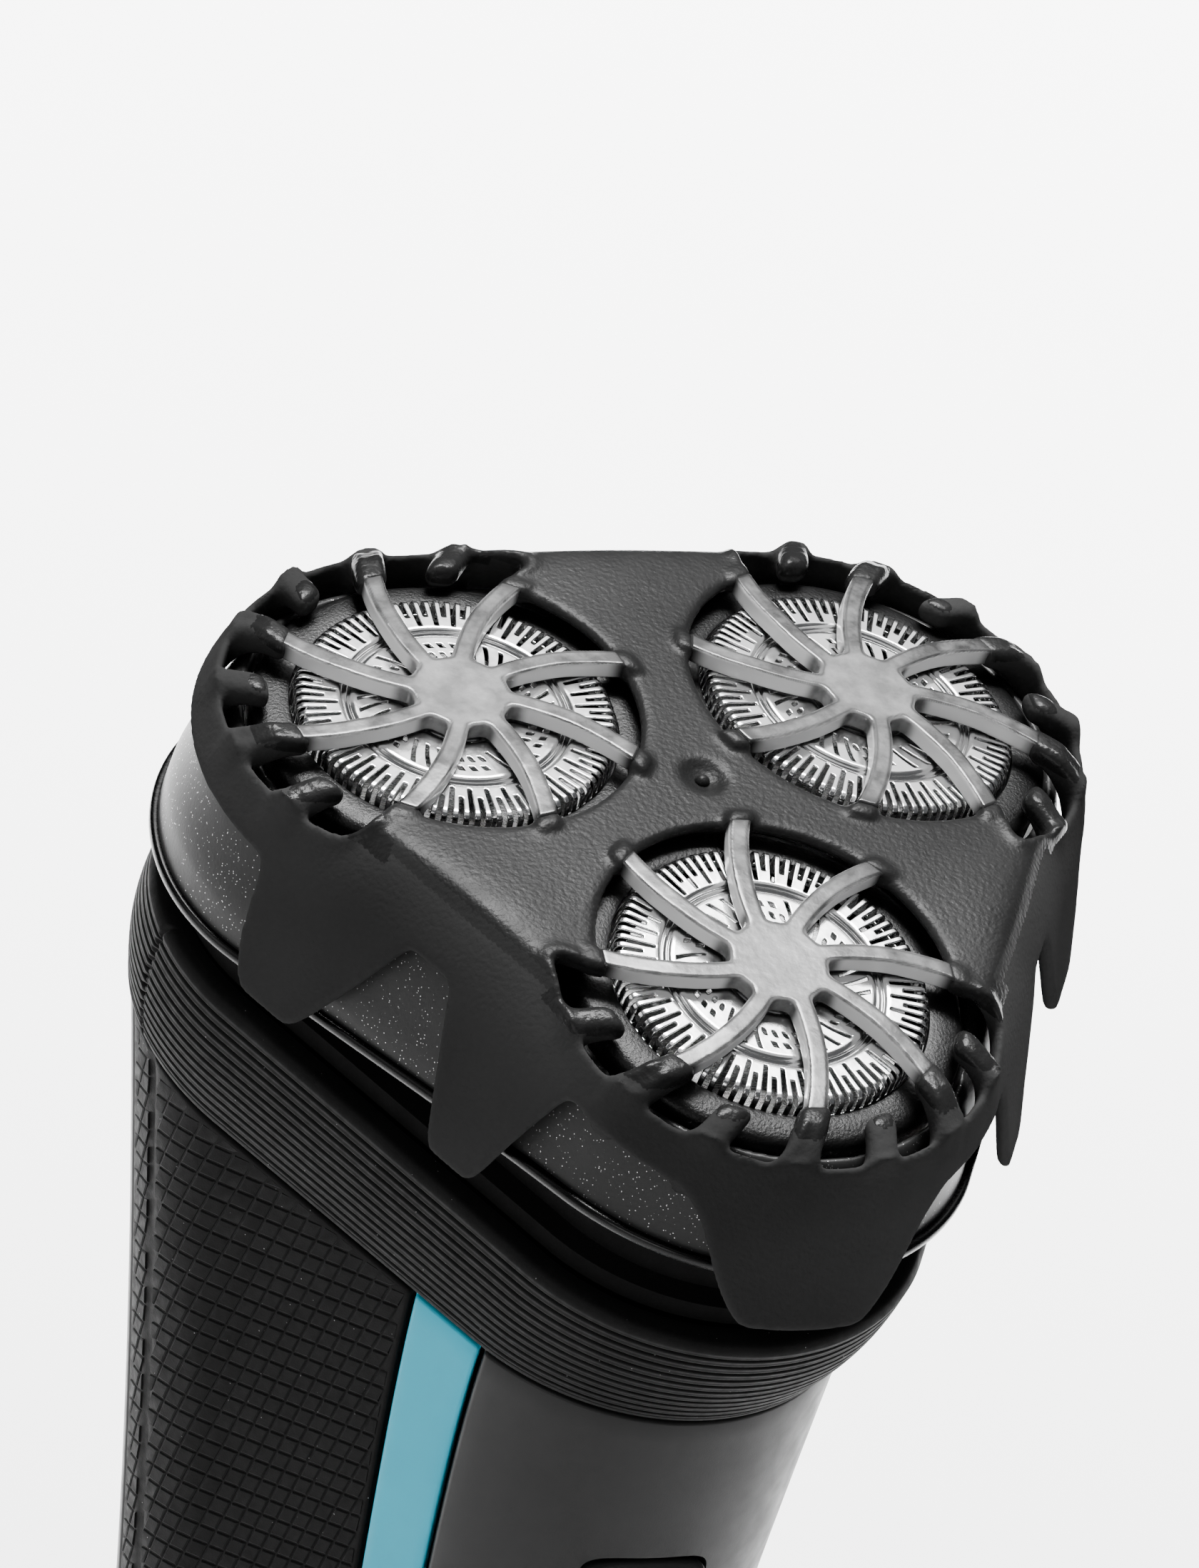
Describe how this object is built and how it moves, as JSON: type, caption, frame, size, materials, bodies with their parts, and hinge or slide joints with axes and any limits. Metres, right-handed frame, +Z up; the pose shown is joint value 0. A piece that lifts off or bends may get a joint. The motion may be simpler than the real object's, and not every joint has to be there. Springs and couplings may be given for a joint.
{
  "type": "electric shaver",
  "caption": "Cordless rotary shaver with floating foils under a slip-on stubble comb, a flip-open head, a tapered grip handle and a pop-up trimmer on the back.",
  "frame": {"origin": "middle of the flat base", "axes": "+Z up the handle, -Y the front with the power button, +X the right-hand side seen from the front"},
  "size_m": [0.0656, 0.0663, 0.1586],
  "materials": {
    "smoked_plastic": "smoked, fine grain",
    "case_grey": "dark grey with fine metal flake",
    "black_plastic": "matte",
    "satin_plastic": "satin",
    "rubber": "matte, moulded grip",
    "cyan_plastic": "satin",
    "steel": "polished and brushed",
    "chrome": "bright",
    "white_plastic": "matte",
    "board": "solder mask",
    "cell": "sleeve",
    "brass": "plain",
    "lens": "clear"
  },
  "bodies": {
    "handle": {"neck_deck": "black_plastic", "head_hinge_pin": "steel", "ribbed_collar": "rubber", "gear_plate": "white_plastic", "motor": "steel", "deck_screw_1": "steel", "deck_screw_2": "steel", "deck_screw_3": "steel", "front_panel": "satin_plastic", "accent_strip_left": "cyan_plastic", "accent_strip_right": "cyan_plastic", "side_grip_left": "rubber", "side_grip_right": "rubber", "back_shell": "satin_plastic", "inner_housing": "black_plastic", "base_cap": "satin_plastic", "charging_socket": "black_plastic", "socket_pin_left": "brass", "socket_pin_right": "brass", "battery": "cell", "circuit_board": "board", "power_button_ring": "chrome", "status_light": "lens", "trimmer_tray": "black_plastic", "trimmer_pin": "steel", "slider_tray": "black_plastic"},
    "head_cover": {"head_casing": "case_grey", "head_rim_trim": "chrome", "cutter_frame": "white_plastic"},
    "dial": {"lock_dial": "black_plastic"},
    "comb": {"stubble_comb": "smoked_plastic"},
    "rotor": {"motor_pinion": "brass", "motor_shaft": "steel"},
    "power_key": {"power_button": "satin_plastic"},
    "release_key": {"head_release_button": "satin_plastic"},
    "trimmer": {"trimmer_flap": "satin_plastic", "trimmer_fixed_blade": "steel"},
    "trimmer_cutter": {"trimmer_moving_blade": "steel"},
    "slider": {"trimmer_slider": "satin_plastic"},
    "foil_unit_front": {"foil_front": "steel", "foil_bezel_front": "black_plastic"},
    "cutter_unit_front": {"cutter_front": "steel"},
    "drive_front": {"drive_gear_front": "white_plastic", "drive_spindle_front": "steel", "spindle_spring_front": "steel"},
    "foil_unit_right": {"foil_right": "steel", "foil_bezel_right": "black_plastic"},
    "cutter_unit_right": {"cutter_right": "steel"},
    "drive_right": {"drive_gear_right": "white_plastic", "drive_spindle_right": "steel", "spindle_spring_right": "steel"},
    "foil_unit_left": {"foil_left": "steel", "foil_bezel_left": "black_plastic"},
    "cutter_unit_left": {"cutter_left": "steel"},
    "drive_left": {"drive_gear_left": "white_plastic", "drive_spindle_left": "steel", "spindle_spring_left": "steel"}
  },
  "joints": [
    {"name": "head_opening", "type": "hinge", "parent": "handle", "child": "head_cover", "pos_m": [0, 0.01834, 0.14089], "axis": [-1, 0, 0], "range_deg": [0, 85]},
    {"name": "comb_pull_off", "type": "slide", "parent": "head_cover", "child": "comb", "axis": [0, -0.2588, 0.9659], "range_m": [0, 0.03]},
    {"name": "dial_turn", "type": "hinge", "parent": "head_cover", "child": "dial", "pos_m": [0, -0.00679, 0.14192], "axis": [0, -0.2588, 0.9659], "range_deg": [0, 90]},
    {"name": "motor_spin", "type": "hinge", "parent": "handle", "child": "rotor", "pos_m": [0, -0.00368, 0.13033], "axis": [0, -0.2588, 0.9659], "continuous": true},
    {"name": "float_front", "type": "slide", "parent": "head_cover", "child": "foil_unit_front", "axis": [0, -0.3535, 0.9354], "range_m": [-0.0012, 0], "stiffness_N_per_m": 300, "springref_m": 0.001},
    {"name": "cutter_spin_front", "type": "hinge", "parent": "foil_unit_front", "child": "cutter_unit_front", "pos_m": [0, -0.02607, 0.14711], "axis": [0, -0.3535, 0.9354], "continuous": true},
    {"name": "gear_spin_front", "type": "hinge", "parent": "handle", "child": "drive_front", "pos_m": [0, -0.02037, 0.12586], "axis": [0, -0.2588, 0.9659], "continuous": true},
    {"name": "float_right", "type": "slide", "parent": "head_cover", "child": "foil_unit_right", "axis": [0.086, -0.2096, 0.974], "range_m": [-0.0012, 0], "stiffness_N_per_m": 300, "springref_m": 0.001},
    {"name": "cutter_spin_right", "type": "hinge", "parent": "foil_unit_right", "child": "cutter_unit_right", "pos_m": [0.01496, -0.00103, 0.15382], "axis": [0.086, -0.2096, 0.974], "continuous": true},
    {"name": "gear_spin_right", "type": "hinge", "parent": "handle", "child": "drive_right", "pos_m": [0.01496, 0.00466, 0.13257], "axis": [0, -0.2588, 0.9659], "continuous": true},
    {"name": "float_left", "type": "slide", "parent": "head_cover", "child": "foil_unit_left", "axis": [-0.086, -0.2096, 0.974], "range_m": [-0.0012, 0], "stiffness_N_per_m": 300, "springref_m": 0.001},
    {"name": "cutter_spin_left", "type": "hinge", "parent": "foil_unit_left", "child": "cutter_unit_left", "pos_m": [-0.01496, -0.00103, 0.15382], "axis": [-0.086, -0.2096, 0.974], "continuous": true},
    {"name": "gear_spin_left", "type": "hinge", "parent": "handle", "child": "drive_left", "pos_m": [-0.01496, 0.00466, 0.13257], "axis": [0, -0.2588, 0.9659], "continuous": true},
    {"name": "power_press", "type": "slide", "parent": "handle", "child": "power_key", "axis": [0, 0.9934, -0.1148], "range_m": [0, 0.0008], "stiffness_N_per_m": 800, "springref_m": -0.0004},
    {"name": "release_press", "type": "slide", "parent": "handle", "child": "release_key", "axis": [0, 0.988, -0.1547], "range_m": [0, 0.0012], "stiffness_N_per_m": 800, "springref_m": -0.0004},
    {"name": "trimmer_swing", "type": "hinge", "parent": "handle", "child": "trimmer", "pos_m": [0, 0.01478, 0.0644], "axis": [-1, 0, 0], "range_deg": [0, 80]},
    {"name": "trimmer_stroke", "type": "slide", "parent": "trimmer", "child": "trimmer_cutter", "axis": [1, 0, 0], "range_m": [-0.0007, 0.0007]},
    {"name": "slider_travel", "type": "slide", "parent": "handle", "child": "slider", "axis": [0, 0, -1], "range_m": [0, 0.006]}
  ],
  "couplings": [
    {"joint": "gear_spin_front", "follows": "motor_spin", "ratio": -0.8},
    {"joint": "cutter_spin_front", "follows": "motor_spin", "ratio": -0.8},
    {"joint": "gear_spin_right", "follows": "motor_spin", "ratio": -0.8},
    {"joint": "cutter_spin_right", "follows": "motor_spin", "ratio": -0.8},
    {"joint": "gear_spin_left", "follows": "motor_spin", "ratio": -0.8},
    {"joint": "cutter_spin_left", "follows": "motor_spin", "ratio": -0.8},
    {"joint": "slider_travel", "follows": "trimmer_swing", "m_per_rad": 0.0042968}
  ]
}
